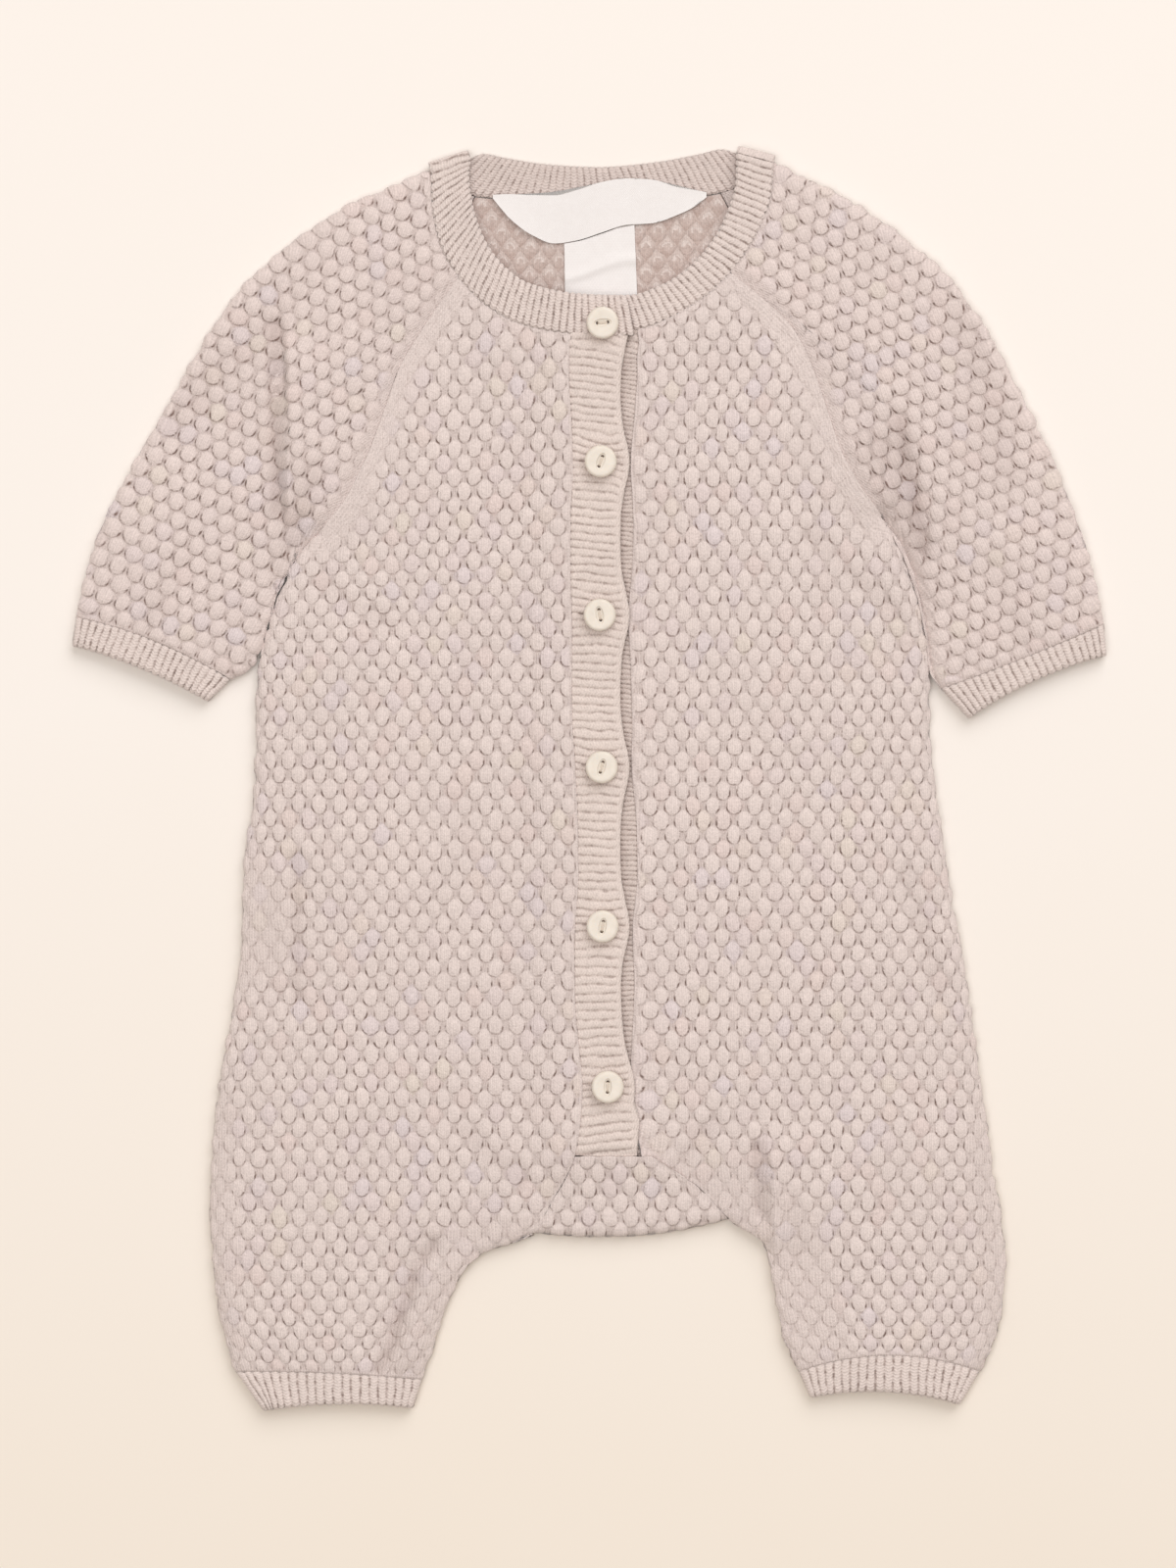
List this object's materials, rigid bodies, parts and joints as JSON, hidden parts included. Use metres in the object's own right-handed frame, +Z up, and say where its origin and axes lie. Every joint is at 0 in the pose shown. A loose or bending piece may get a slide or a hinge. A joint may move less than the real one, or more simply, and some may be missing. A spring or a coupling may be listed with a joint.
{
  "type": "baby romper",
  "caption": "Long-legged baby romper with raglan sleeves in bubble knit, ribbed neckband, cuffs and buttoned front placket, laid flat on its back.",
  "frame": {"origin": "middle of the bounding box on the surface that the romper lies on", "axes": "+Z up out of the surface, +Y from the leg cuffs towards the neck, +X towards the wearer's left"},
  "size_m": [0.3277, 0.4002, 0.0116],
  "materials": {
    "knit": "matte bubble knit in oatmeal pink yarn",
    "rib": "matte 1x1 rib knit in the same yarn",
    "button": "softly polished ivory",
    "label": "woven white satin"
  },
  "bodies": {
    "root": {"front_right": "knit", "front_left": "knit", "back": "knit", "gusset": "knit", "sleeve_right": "knit", "sleeve_left": "knit", "neckband": "rib", "band_top": "rib", "band_under": "rib", "cuff_sleeve_right": "rib", "cuff_sleeve_left": "rib", "cuff_leg_right": "rib", "cuff_leg_left": "rib", "button_1": "button", "button_2": "button", "button_3": "button", "button_4": "button", "button_5": "button", "button_6": "button", "label_neck": "label", "label_size": "label"}
  },
  "joints": []
}
